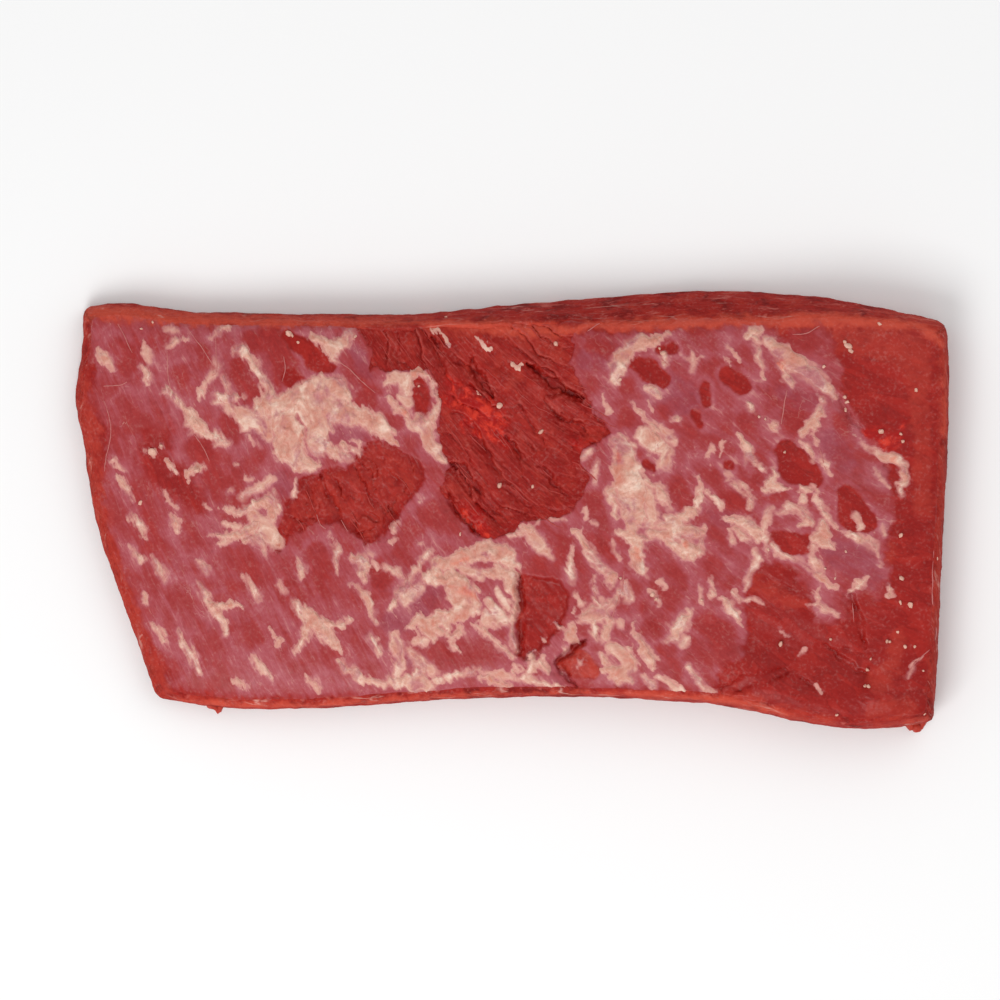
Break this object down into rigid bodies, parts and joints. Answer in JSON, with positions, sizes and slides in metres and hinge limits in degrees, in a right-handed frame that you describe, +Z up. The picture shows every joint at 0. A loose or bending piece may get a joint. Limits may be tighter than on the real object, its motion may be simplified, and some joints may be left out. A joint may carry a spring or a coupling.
{
  "type": "raw beef brisket",
  "caption": "Slab of trimmed raw beef brisket, thinner at one end, with silverskin, fat seams and torn muscle on its upper face.",
  "frame": {"origin": "under the middle of the outline, on the surface that the meat lies on", "axes": "+X along the muscle to the thick end, +Y to the far side, +Z up"},
  "size_m": [0.3598, 0.1809, 0.0353],
  "materials": {
    "lean_beef": "moist raw muscle, dark to bright red, satin",
    "silverskin": "thin mauve membrane over muscle, soft sheen",
    "fat": "cream to pink beef fat, satin"
  },
  "bodies": {
    "root": {"brisket": "lean_beef"}
  },
  "joints": []
}
